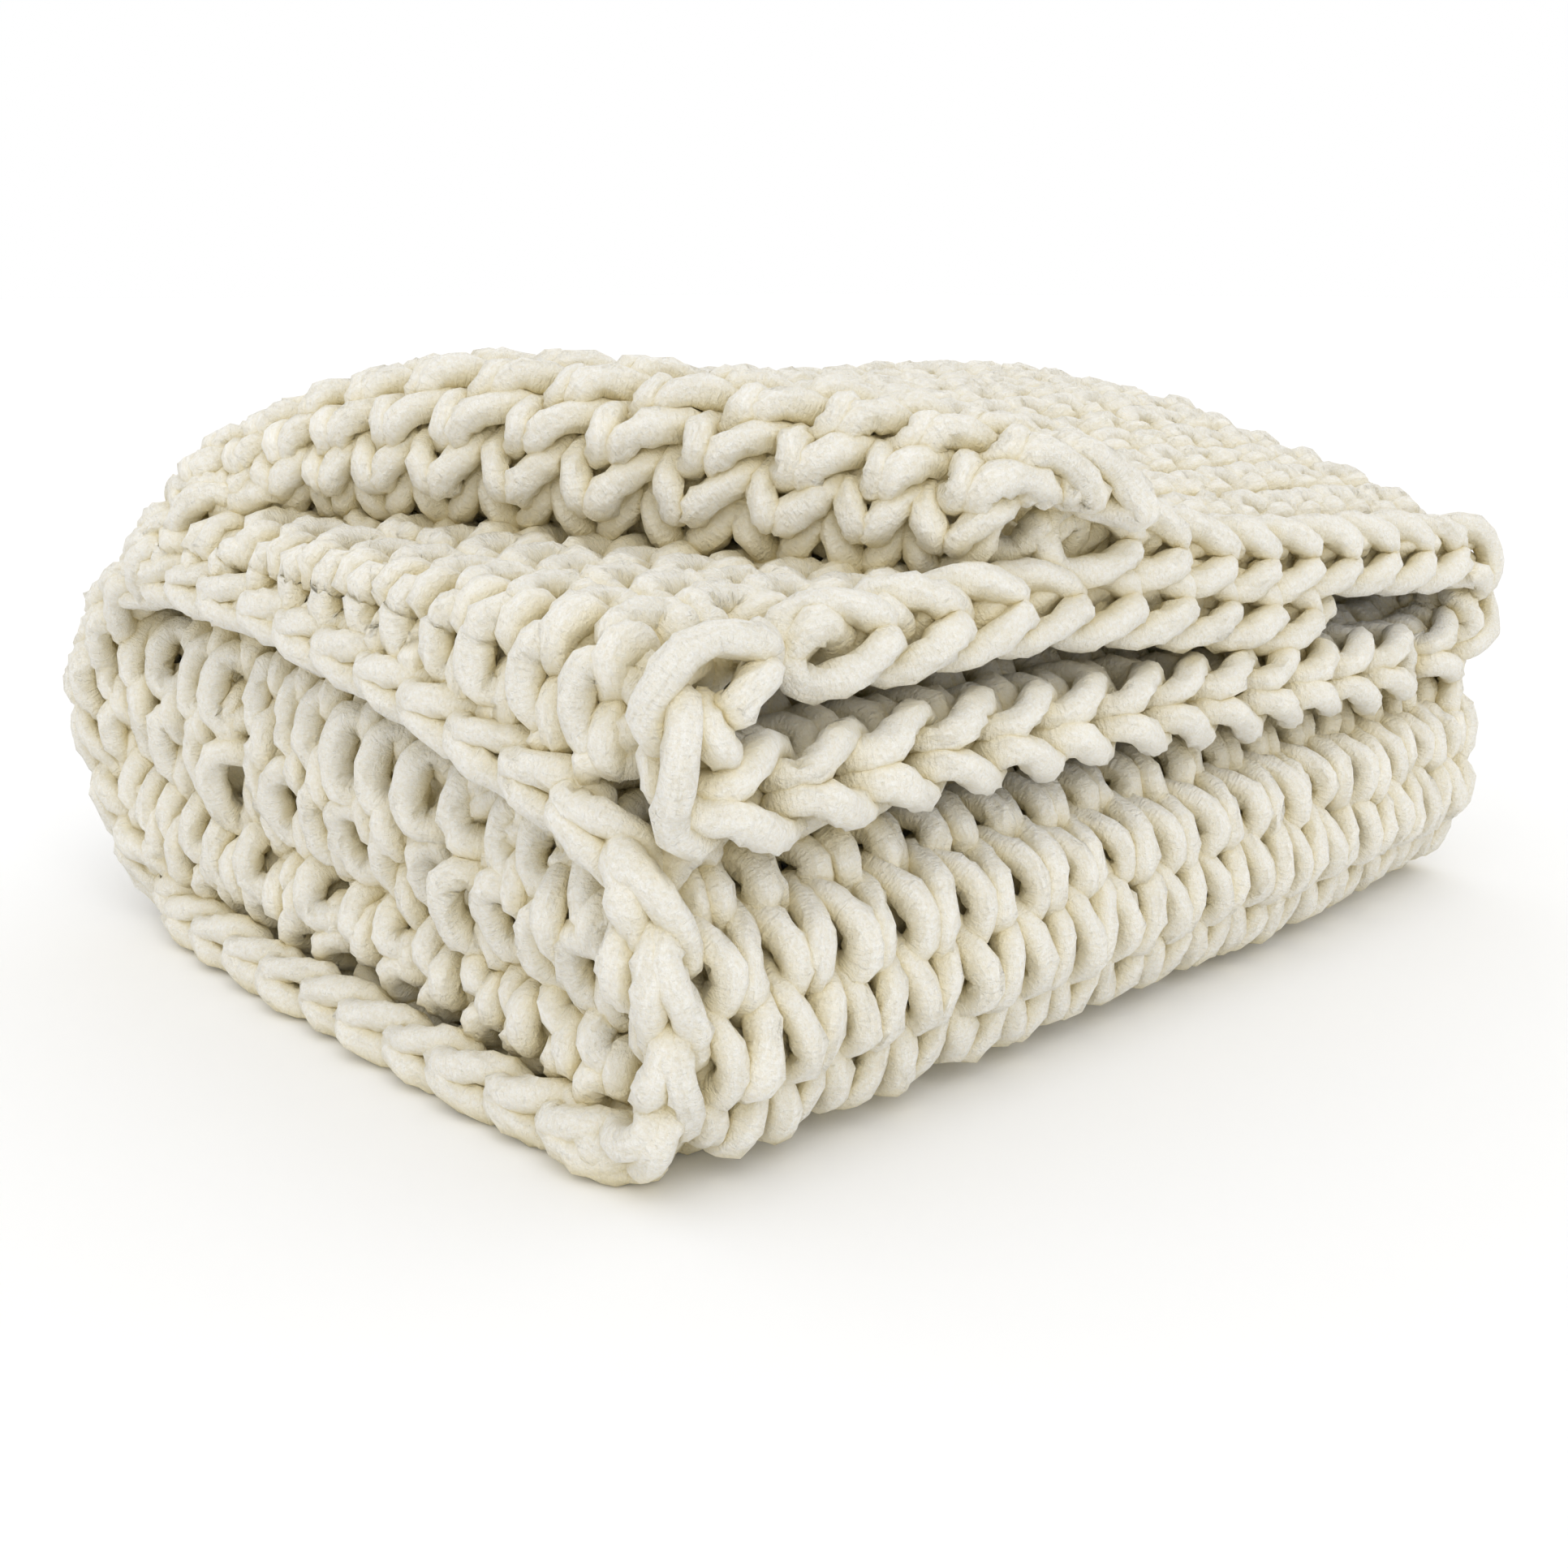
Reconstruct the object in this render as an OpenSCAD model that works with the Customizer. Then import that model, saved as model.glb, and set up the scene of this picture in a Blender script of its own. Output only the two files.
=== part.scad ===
// Folded throw blanket: one chunky knitted panel, letter-folded across its width and folded again
// along its length, lying on a flat surface. Every folded layer, turn and edge is its own sub-part.
// X runs along the long side, Y from the front edges to the rear fold, Z up. The origin is on the
// resting face, under the middle of the folded blanket.

/* [Overall] */

// Length of the folded blanket along the long front side
long_side = 446; // [380:2:520]

// Depth of the folded blanket from the front fold to the rear fold
depth = 400; // [340:2:460]

// Thickness of one knitted layer
layer_t = 24; // [20:0.5:28]

// Clearance left between neighbouring layers
layer_gap = 0.5; // [0.4:0.1:1.5]

/* [Upper strip] */

// Open height between the lower flap and the middle flap at the front
slot_h = 18; // [8:1:30]

// Rise of the middle flap from its front edge to the rear fold
middle_rise = 12; // [6:1:16]

// Rise of the top flap from its front edge to the rear fold
top_rise = 35; // [28:1:44]

// How far in from the left end the top flap starts at its front edge
top_start = 172; // [120:2:210]

// Radius of the rolled left edge of the top flap
roll_r = 19; // [14:1:22]

/* [Edges] */

// Diameter of the cast-on and selvedge edge stitches
edge_d = 20; // [16:1:23]

// Length of the loose yarn end at the right-hand turn
tail_l = 14; // [8:1:24]

// Thickness of the yarn
yarn_d = 9; // [7:0.5:12]

/* [Hidden] */

half_x = long_side / 2;
half_y = depth / 2;
step_z = layer_t + layer_gap;
facets = 72;
base_h = 4 * layer_t + 3 * layer_gap;
front_r = base_h / 2;
front_y = -half_y + front_r;
edge_inset = 1;
left_tuck = 5;
right_swell = 3;
inner_inset = 8;
selvedge_inset = 4;
middle_tuck = 16;
inner_tuck = 24;
flap_short = 6;
roll_clear = 8;
roll_margin = 2;
roll_end_gap = 14;
roll_end_reach = 2.6;
corner_reach = 1.3;
peel_share = 0.6;
slice_t = 1;
cut_over = 2;
small_facets = 36;
strip_front_y = -half_y + edge_d + edge_inset;
lower_z = base_h + layer_gap;
middle_z = lower_z + layer_t + slot_h;
top_z = middle_z + layer_t + layer_gap;
total_h = top_z + layer_t + top_rise;
rear_r = total_h / 2;
rear_y = half_y - rear_r;
run_y = rear_y - strip_front_y;
middle_slope = atan(middle_rise / run_y);
top_slope = atan(top_rise / run_y);
rear_mid_low = step_z;
rear_mid_high = middle_z + layer_t + middle_rise;
rear_mid_r = (rear_mid_high - rear_mid_low) / 2;
rear_mid_z = (rear_mid_high + rear_mid_low) / 2;
rear_in_z = base_h + layer_gap / 2;
rear_in_r = layer_t + layer_gap / 2;
left_r = layer_t + slot_h / 2;
left_z = lower_z + left_r;
left_x = -half_x + left_r - left_tuck;
right_reach = half_x + right_swell;
right_front_r = (top_z + layer_t - lower_z) / 2;
right_rear_r = (total_h - lower_z) / 2;
right_front_x = right_reach - right_front_r;
right_rear_x = right_reach - right_rear_r;
inner_r = (2 * layer_t + layer_gap) / 2;
inner_x = half_x - inner_r - inner_inset;
inner_z = step_z + inner_r;
roll_front_x = -half_x + top_start;
roll_rear_x = -half_x + roll_r + selvedge_inset;
roll_rear_y = rear_y - roll_end_gap - roll_end_reach * roll_r;
top_left_x = -half_x + selvedge_inset;
peel_front_x = roll_front_x + peel_share * (right_front_x - roll_front_x);
peel_rear_y = rear_y - flap_short;
bead_r = edge_d / 2;
big = 4 * long_side;

// A flat knitted layer between two x and two y limits, lying at height z
module layer(x0, x1, y0, y1, z) {
  translate([x0, y0, z]) cube([x1 - x0, y1 - y0, layer_t]);
}

// Half tube along X, bulging towards +Y (side 1) or -Y (side -1)
module turn_x(length, outer_r, inner_radius, side) {
  intersection() {
    rotate([0, 90, 0]) difference() {
      cylinder(h = length, r = outer_r, center = true, $fn = facets);
      cylinder(h = length + cut_over, r = inner_radius, center = true, $fn = facets);
    }
    translate([0, side * outer_r, 0])
      cube([length + cut_over, 2 * outer_r, 2 * outer_r + cut_over], center = true);
  }
}

// Half round along Y, bulging towards +X (side 1) or -X (side -1)
module round_y(length, radius, side) {
  intersection() {
    rotate([90, 0, 0]) cylinder(h = length, r = radius, center = true, $fn = facets);
    translate([side * radius, 0, 0])
      cube([2 * radius, length + cut_over, 2 * radius + cut_over], center = true);
  }
}

// Half-round slice across the strip, used for the two ends of the tapered right-hand turn
module right_slice(y, x, z, radius) {
  translate([x, y, z]) round_y(slice_t, radius, 1);
}

// A row of edge stitches along X
module bead_x(x0, x1, y, z) {
  translate([x0, y, z]) rotate([0, 90, 0]) cylinder(h = x1 - x0, r = bead_r, $fn = facets);
}

// Selvedge stitches that follow a turn: part of a ring round an axis along X
module ring_bead(x, y, z, ring_r, bead, side) {
  intersection() {
    translate([x, y, z]) rotate([0, 90, 0]) rotate_extrude($fn = facets)
      translate([ring_r, 0]) circle(r = bead, $fn = small_facets);
    translate([x, y + side * 2 * ring_r, z]) cube([4 * bead, 4 * ring_r, 4 * ring_r], center = true);
  }
}

// The space on the front-left side of the peel line, seen from above
module peel_side(shift) {
  run = [peel_front_x - top_left_x, strip_front_y - bead_r - peel_rear_y];
  away = [-run[1], run[0]] / norm(run);
  start = [top_left_x, peel_rear_y];
  translate([0, 0, -cut_over]) linear_extrude(height = 2 * total_h)
    polygon([start - 2 * run - away * shift, start + 3 * run - away * shift,
      start + 3 * run - away * big, start - 2 * run - away * big]);
}

// The whole top flap before it is divided at the peel line
module whole_top() {
  intersection() {
    translate([0, strip_front_y, top_z]) rotate([top_slope, 0, 0]) translate([-half_x, 0, 0])
      cube([2 * long_side, 2 * depth, layer_t * cos(top_slope)]);
    translate([0, 0, top_z - cut_over]) linear_extrude(height = total_h)
      polygon([[roll_front_x + roll_r + roll_clear, strip_front_y],
        [right_front_x - layer_gap, strip_front_y], [right_rear_x - layer_gap, rear_y - layer_gap],
        [top_left_x, rear_y - layer_gap], [top_left_x, peel_rear_y],
        [roll_rear_x + roll_r + roll_margin, roll_rear_y + corner_reach * roll_r]]);
  }
}

module bottom_layer() {
  color("Ivory") layer(-half_x, half_x, front_y, rear_y, 0);
}

module inner_lower_layer() {
  color("Ivory") layer(-inner_x, inner_x, front_y, rear_y, step_z);
}

module inner_upper_layer() {
  color("Ivory") layer(-inner_x, inner_x, front_y, rear_y, 2 * step_z);
}

module upper_layer() {
  color("Ivory") layer(-half_x, half_x, front_y, rear_y, 3 * step_z);
}

module front_turn() {
  color("Ivory") translate([0, front_y, front_r])
    turn_x(long_side, front_r, front_r - layer_t, -1);
}

module inner_front_turn() {
  color("Linen") translate([0, front_y, inner_z])
    turn_x(2 * inner_x, inner_r - layer_gap, slice_t, -1);
}

module inner_left_turn() {
  color("Linen") translate([-inner_x, (front_y + rear_y) / 2, inner_z])
    round_y(rear_y - front_y, inner_r, -1);
}

module inner_right_turn() {
  color("Linen") translate([inner_x, (front_y + rear_y) / 2, inner_z])
    round_y(rear_y - front_y, inner_r, 1);
}

module rear_turn_outer() {
  color("Ivory") translate([0, rear_y, rear_r]) turn_x(long_side, rear_r, rear_r - layer_t, 1);
}

module rear_turn_middle() {
  color("Linen") translate([0, rear_y, rear_mid_z])
    turn_x(long_side - middle_tuck, rear_mid_r, rear_mid_r - layer_t, 1);
}

module rear_turn_inner() {
  color("Linen") translate([0, rear_y, rear_in_z])
    turn_x(long_side - inner_tuck, rear_in_r, slice_t, 1);
}

module left_floor_selvedge() {
  color("Snow") translate([-half_x - yarn_d / 2, (front_y + rear_y) / 2, layer_t / 2])
    rotate([90, 0, 0]) cylinder(h = rear_y - front_y, r = yarn_d / 2, center = true, $fn = facets);
}

module left_rear_selvedge() {
  color("Snow") ring_bead(-half_x - yarn_d / 2, rear_y, rear_r, rear_r - layer_t / 2, yarn_d / 2, 1);
}

module left_front_selvedge() {
  color("Snow") ring_bead(-half_x - yarn_d / 2, front_y, front_r, front_r - layer_t / 2, yarn_d / 2, -1);
}

module right_rear_selvedge() {
  color("Snow") ring_bead(half_x + yarn_d / 2, rear_y, rear_r, rear_r - layer_t / 2, yarn_d / 2, 1);
}

module right_front_selvedge() {
  color("Snow") ring_bead(half_x + yarn_d / 2, front_y, front_r, front_r - layer_t / 2, yarn_d / 2, -1);
}

module lower_flap() {
  color("FloralWhite") translate([0, 0, lower_z]) linear_extrude(height = layer_t)
    polygon([[left_x, strip_front_y], [right_front_x - layer_gap, strip_front_y],
      [right_rear_x - layer_gap, rear_y - layer_gap], [left_x, rear_y - layer_gap]]);
}

module left_turn() {
  color("FloralWhite") intersection() {
    translate([left_x, strip_front_y, left_z]) rotate([middle_slope / 2, 0, 0]) difference() {
      translate([0, depth / 2, 0]) round_y(depth, left_r, -1);
      translate([0, depth / 2, 0]) round_y(depth + cut_over, left_r - layer_t, -1);
    }
    translate([0, rear_y - layer_gap - depth / 2, total_h / 2])
      cube([2 * long_side, depth, 2 * total_h], center = true);
  }
}

module middle_flap() {
  color("FloralWhite") intersection() {
    translate([left_x, strip_front_y, middle_z]) rotate([middle_slope, 0, 0])
      cube([right_rear_x - left_x - flap_short, 2 * depth, layer_t * cos(middle_slope)]);
    translate([-half_x, strip_front_y, 0]) cube([long_side, run_y - layer_gap, total_h]);
  }
}

module right_turn() {
  color("FloralWhite") difference() {
    hull() {
      right_slice(strip_front_y + slice_t / 2, right_front_x, lower_z + right_front_r, right_front_r);
      right_slice(rear_y - layer_gap - slice_t / 2, right_rear_x, lower_z + right_rear_r, right_rear_r);
    }
    hull() {
      right_slice(strip_front_y - cut_over, right_front_x, lower_z + right_front_r, right_front_r - layer_t);
      right_slice(rear_y + cut_over, right_rear_x, lower_z + right_rear_r, right_rear_r - layer_t);
    }
  }
}

module top_flap() {
  color("FloralWhite") difference() {
    whole_top();
    peel_side(-layer_gap);
  }
}

module lower_cast_on_edge() {
  color("Snow") bead_x(left_x, right_front_x, strip_front_y - bead_r, lower_z + layer_t / 2);
}

module middle_cast_on_edge() {
  color("Snow") bead_x(left_x, right_rear_x - flap_short, strip_front_y - bead_r, middle_z + layer_t / 2);
}

module top_cast_on_edge() {
  color("Snow") bead_x(peel_front_x + layer_t, right_front_x, strip_front_y - bead_r, top_z + layer_t / 2);
}

module yarn_tail() {
  color("Snow") translate([half_x + yarn_d - tail_l, strip_front_y + yarn_d, lower_z + right_front_r]) {
    rotate([0, 90, 0]) cylinder(h = tail_l - yarn_d / 2, r = yarn_d / 2, $fn = facets);
    translate([tail_l - yarn_d / 2, 0, 0]) sphere(r = yarn_d / 2, $fn = facets);
  }
}

module top_corner() {
  color("FloralWhite") intersection() {
    whole_top();
    peel_side(layer_gap);
  }
}

module top_rolled_edge() {
  start = [roll_rear_x, roll_rear_y, 0];
  finish = [roll_front_x, strip_front_y, 0];
  reach = norm(finish - start);
  turn = atan2(finish[1] - start[1], finish[0] - start[0]);
  rise = (start[1] - finish[1]) / run_y * top_rise;
  color("FloralWhite") translate([finish[0], finish[1], top_z + roll_r + layer_gap])
    rotate([0, 0, turn + 180]) rotate([0, 90 - atan(rise / reach), 0])
    cylinder(h = reach, r = roll_r, $fn = facets);
}

module corner_cast_on_edge() {
  color("Snow") bead_x(roll_front_x + roll_r + roll_clear, peel_front_x - layer_t,
    strip_front_y - bead_r, top_z + layer_t / 2);
}

bottom_layer();
inner_lower_layer();
inner_upper_layer();
upper_layer();
front_turn();
inner_front_turn();
inner_left_turn();
inner_right_turn();
rear_turn_outer();
rear_turn_middle();
rear_turn_inner();
left_floor_selvedge();
left_rear_selvedge();
left_front_selvedge();
right_rear_selvedge();
right_front_selvedge();
lower_flap();
left_turn();
middle_flap();
right_turn();
top_flap();
lower_cast_on_edge();
middle_cast_on_edge();
top_cast_on_edge();
yarn_tail();
top_corner();
top_rolled_edge();
corner_cast_on_edge();
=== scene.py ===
"""Folded chunky chenille throw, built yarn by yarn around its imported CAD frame."""

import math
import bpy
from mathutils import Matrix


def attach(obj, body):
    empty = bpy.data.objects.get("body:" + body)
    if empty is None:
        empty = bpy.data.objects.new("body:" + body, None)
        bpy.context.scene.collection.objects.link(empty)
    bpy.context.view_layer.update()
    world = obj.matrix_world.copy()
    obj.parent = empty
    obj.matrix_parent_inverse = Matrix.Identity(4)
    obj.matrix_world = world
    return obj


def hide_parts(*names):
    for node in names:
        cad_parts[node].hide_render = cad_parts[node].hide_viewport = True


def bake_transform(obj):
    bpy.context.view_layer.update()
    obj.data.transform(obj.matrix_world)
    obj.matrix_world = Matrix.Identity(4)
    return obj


bl_info = {
    "name": "Folded chunky throw",
    "version": (1, 0, 0),
    "blender": (4, 5, 0),
    "location": "View3D > Sidebar > Throw",
    "description": "Builds a folded chunky knitted throw around its CAD frame",
    "category": "Object",
}

import bpy
import numpy as np

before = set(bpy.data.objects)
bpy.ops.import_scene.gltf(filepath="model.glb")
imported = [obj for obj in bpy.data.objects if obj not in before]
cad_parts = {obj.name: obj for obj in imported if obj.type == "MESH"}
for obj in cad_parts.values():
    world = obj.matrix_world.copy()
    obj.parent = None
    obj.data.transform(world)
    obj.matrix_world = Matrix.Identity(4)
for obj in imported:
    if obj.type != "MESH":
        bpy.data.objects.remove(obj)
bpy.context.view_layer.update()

MM = 0.001
GRID = 240  # points each way in the grid that holds a cloth's mid-surface
LAST = GRID - 1
NORMAL_STEP = 0.12  # columns or rows stepped to find a normal
TINY = 1e-9
HEIGHT_UNEVEN = 0.035  # how much a hand knitter's stitches differ, in rows
LEAN_UNEVEN = 0.03  # in columns, at the head of a loop
FOOT_UNEVEN = 0.02  # in columns, at its foot
LIFT_UNEVEN = 0.7  # in millimetres, off the cloth
DRIFT_SIZE = 2.5  # stitches over which rows and columns wander
SWELL_SIZE = 2.2  # stitches over which the cloth rises and falls
LINK_POINTS = 34
LINK_END = 0.12  # angle left open at the two ends of a link
YARN_APART = 700  # millimetres of pattern kept between one yarn and the next
FLOOR_EASE = 2  # millimetres above the floor within which yarn flattens
ROLL_SWEEP = 216  # degrees the rolled edge turns through
ROLL_STEP = 24
ROLL_FROM = -100


def smooth_curve(points, count=400):
    """Dense points of a rounded line through given corners, evenly spaced along it."""
    p = np.asarray(points, float)
    ends = np.vstack([2 * p[0] - p[1], p, 2 * p[-1] - p[-2]])
    out = []
    for k in range(len(p) - 1):
        a, b, c, d = ends[k], ends[k + 1], ends[k + 2], ends[k + 3]
        t = np.linspace(0, 1, 40, endpoint=False)[:, None]
        out.append(
            0.5
            * (2 * b + (c - a) * t + (2 * a - 5 * b + 4 * c - d) * t**2
               + (3 * b - a - 3 * c + d) * t**3)
        )
    dense = np.vstack(out + [p[-1:]])
    steps = np.r_[0, np.cumsum(np.linalg.norm(np.diff(dense, axis=0), axis=1))]
    wanted = np.linspace(0, steps[-1], count)
    return np.stack([np.interp(wanted, steps, dense[:, k]) for k in range(dense.shape[1])], 1)


class Loft:
    """Fabric mid-surface through sections in space; a counts columns along a section, b rows across them."""

    def __init__(self, rows_at, sections, wales):
        self.wales = wales
        self.rows = rows_at[-1]
        self.swap = False
        curves = np.stack([smooth_curve(s, GRID) for s in sections])
        at = np.asarray(rows_at, float)
        fine = np.linspace(at[0], at[-1], GRID)
        ends = np.concatenate([2 * curves[:1] - curves[1:2], curves, 2 * curves[-1:] - curves[-2:-1]])
        k = np.clip(np.searchsorted(at, fine, side="right") - 1, 0, len(at) - 2)
        t = ((fine - at[k]) / (at[k + 1] - at[k]))[:, None, None]
        p0, p1, p2, p3 = ends[k], ends[k + 1], ends[k + 2], ends[k + 3]
        self.grid = 0.5 * (
            2 * p1 + (p2 - p0) * t + (2 * p0 - 5 * p1 + 4 * p2 - p3) * t**2
            + (3 * p1 - p0 - 3 * p2 + p3) * t**3
        )

    def point(self, a, b):
        """Points at fabric coordinates a (columns) and b (rows); past an edge the cloth runs on straight."""
        if self.swap:
            a = a + self.shear * (b - self.rows_long / 2)
            a, b = b / self.rows_long * self.wales, a / self.wales_long * self.rows
        u = np.asarray(a) / self.wales * LAST
        v = np.asarray(b) / self.rows * LAST
        i = np.clip(np.floor(u).astype(int), 0, LAST - 1)
        k = np.clip(np.floor(v).astype(int), 0, LAST - 1)
        g = (u - i)[..., None]
        f = (v - k)[..., None]
        low = self.grid[k, i] * (1 - g) + self.grid[k, i + 1] * g
        high = self.grid[k + 1, i] * (1 - g) + self.grid[k + 1, i + 1] * g
        return low * (1 - f) + high * f

    def normal(self, a, b):
        """Unit normals, by small steps along both directions."""
        e = NORMAL_STEP
        da = self.point(a + e, b) - self.point(a - e, b)
        db = self.point(a, b + e) - self.point(a, b - e)
        n = np.cross(da, db)
        return n / np.maximum(np.linalg.norm(n, axis=-1, keepdims=True), TINY)

    def loose_edge(self, count):
        """The last column line of the cloth, from its last section to its first."""
        return self.grid[np.linspace(LAST, 0, count).astype(int), LAST]

    def turned(self, wales, rows, shear=0.0):
        """The same cloth with its columns laid across the sections and its rows along them."""
        other = object.__new__(Loft)
        other.__dict__.update(self.__dict__)
        other.swap = True
        other.shear = shear
        other.wales_long = wales
        other.rows_long = rows
        return other


def wave(seed, size, x, y):
    """Slow smooth wander between about -1 and 1, for hand-made unevenness."""
    g = np.random.default_rng(seed)
    total = np.zeros(np.broadcast(x, y).shape)
    for _ in range(5):
        kx, ky = g.normal(0, 1 / size, 2)
        total += np.sin(kx * x + ky * y + g.uniform(0, 6.28))
    return total / 2.6


def stockinette(sheet, a0, a1, b0, b1, side, per_stitch, seed, look):
    """Centre lines of the courses of a plain knit between columns a0..a1 and rows b0..b1.
    side 1 puts the V side on the surface's normal, -1 the bumpy side."""
    g = np.random.default_rng(seed)
    n, rows = int(a1 - a0), int(b1 - b0)
    t = np.linspace(0, 2 * np.pi * n, n * per_stitch + 1)
    stitch = np.minimum((t / (2 * np.pi)).astype(int), n - 1)
    turn = t - 2 * np.pi * stitch
    head = (1 - np.cos(turn)) / 2
    lines = []
    for j in range(rows):
        tall = look["tall"] + g.normal(0, HEIGHT_UNEVEN * look["loose"], n)
        foot = look["tall"] + g.normal(0, HEIGHT_UNEVEN * look["loose"], n + 1)
        lean = g.normal(0, LEAN_UNEVEN * look["loose"], n)
        lean_foot = g.normal(0, FOOT_UNEVEN * look["loose"], n + 1)
        lift = g.normal(0, LIFT_UNEVEN * look["loose"], n)
        lift_foot = g.normal(0, LIFT_UNEVEN * look["loose"], n + 1)
        late = (turn > np.pi).astype(int)

        def mix(at_head, at_foot):
            return at_head[stitch] * head + at_foot[stitch + late] * (1 - head)

        grow = mix(tall, foot)
        a = a0 + t / (2 * np.pi) + look["neck"] * np.sin(2 * turn) + mix(lean, lean_foot)
        b = b0 + j + 0.5 - grow * np.cos(turn)
        h = -look["depth"] * np.cos(2 * turn)
        h += 0.5 * look["lead"] * (np.cos(turn) - np.cos(3 * turn))
        h = side * h + mix(lift, lift_foot)
        a = a + 0.05 * wave(seed + 1, DRIFT_SIZE, a, b)
        b = b + 0.07 * wave(seed + 2, DRIFT_SIZE, a, b)
        h = h + look["wander"] * wave(seed + 3, SWELL_SIZE, a, b)
        lines.append(sheet.point(a, b) + h[:, None] * sheet.normal(a, b))
    return np.stack(lines)


def chain(guide, outward, pitch, width, depth, seed, spread=0.19, reach=0.72):
    """Centre lines of a row of V links that run along a guide line, facing outward."""
    g = np.random.default_rng(seed)
    guide = np.asarray(guide, float)
    steps = np.r_[0, np.cumsum(np.linalg.norm(np.diff(guide, axis=0), axis=1))]
    count = int(steps[-1] / pitch)
    t = np.linspace(LINK_END, 2 * np.pi - LINK_END, LINK_POINTS)
    lines = []
    for k in range(count):
        leg = np.minimum(t, 2 * np.pi - t)
        open_by = 0.27 * np.clip(2 - 2 * leg / np.pi, 0, 1) - spread * np.sin(2 * leg)
        across = np.sign(t - np.pi) * open_by * width * (1 + g.normal(0, 0.05))
        along = (k + 0.5 - (reach + g.normal(0, 0.03)) * np.cos(t)) * pitch
        up = -depth * np.cos(2 * t) + 0.42 * depth * (np.cos(t) - np.cos(3 * t)) + g.normal(0, 0.6)
        along = np.clip(along, 0.5, steps[-1] - 0.5)
        here = np.stack([np.interp(along, steps, guide[:, c]) for c in range(3)], 1)
        ahead = np.stack([np.interp(along + 4, steps, guide[:, c]) for c in range(3)], 1)
        behind = np.stack([np.interp(along - 4, steps, guide[:, c]) for c in range(3)], 1)
        run = ahead - behind
        run /= np.maximum(np.linalg.norm(run, axis=1, keepdims=True), TINY)
        out = np.broadcast_to(np.asarray(outward, float), here.shape)
        out = out - (out * run).sum(1, keepdims=True) * run
        out /= np.maximum(np.linalg.norm(out, axis=1, keepdims=True), TINY)
        left = np.cross(out, run)
        lines.append(here + across[:, None] * left + up[:, None] * out)
    return np.stack(lines)


def yarn_rings(lines, radius, sides, seed, pile):
    """Rings of points round each centre line, with the uneven pile of a chenille yarn."""
    g = np.random.default_rng(seed)
    c, n, _ = lines.shape
    run = np.gradient(lines, axis=1)
    run /= np.maximum(np.linalg.norm(run, axis=2, keepdims=True), TINY)
    side = np.empty_like(run)
    first = np.cross(run[:, 0], np.array([0.31, 0.52, 0.79]))
    side[:, 0] = first / np.linalg.norm(first, axis=1, keepdims=True)
    for k in range(1, n):
        s = side[:, k - 1] - (side[:, k - 1] * run[:, k]).sum(1, keepdims=True) * run[:, k]
        side[:, k] = s / np.linalg.norm(s, axis=1, keepdims=True)
    other = np.cross(run, side)
    length = np.concatenate(
        [np.zeros((c, 1)), np.cumsum(np.linalg.norm(np.diff(lines, axis=1), axis=2), axis=1)], 1
    )
    slow = np.zeros((c, n))
    for _ in range(4):
        slow += np.sin(length / g.uniform(7, 19) + g.uniform(0, 6.28, (c, 1)))
    r = radius + 0.16 * slow * pile
    end = np.minimum(length, length[:, -1:] - length)
    r = r * np.sqrt(np.clip(1 - np.clip(1 - end / (0.9 * radius), 0, 1) ** 2, 0.02, 1))
    tuft = g.normal(0, 0.22 * pile, (c, n, 1)) + g.normal(0, 0.36 * pile, (c, n, sides))
    angle = np.linspace(0, 2 * np.pi, sides, endpoint=False)
    reach = (r[:, :, None] + tuft * np.clip(end / radius, 0, 1)[:, :, None])[..., None]
    turn = angle[None, None, :, None]
    ring = np.cos(turn) * side[:, :, None] + np.sin(turn) * other[:, :, None]
    points = lines[:, :, None] + reach * ring
    space = np.stack(
        [
            np.broadcast_to(length[:, :, None] + YARN_APART * np.arange(c)[:, None, None], (c, n, sides)),
            np.broadcast_to(np.cos(angle) * radius, (c, n, sides)),
            np.broadcast_to(np.sin(angle) * radius, (c, n, sides)),
        ],
        -1,
    )
    return points, space


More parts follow.
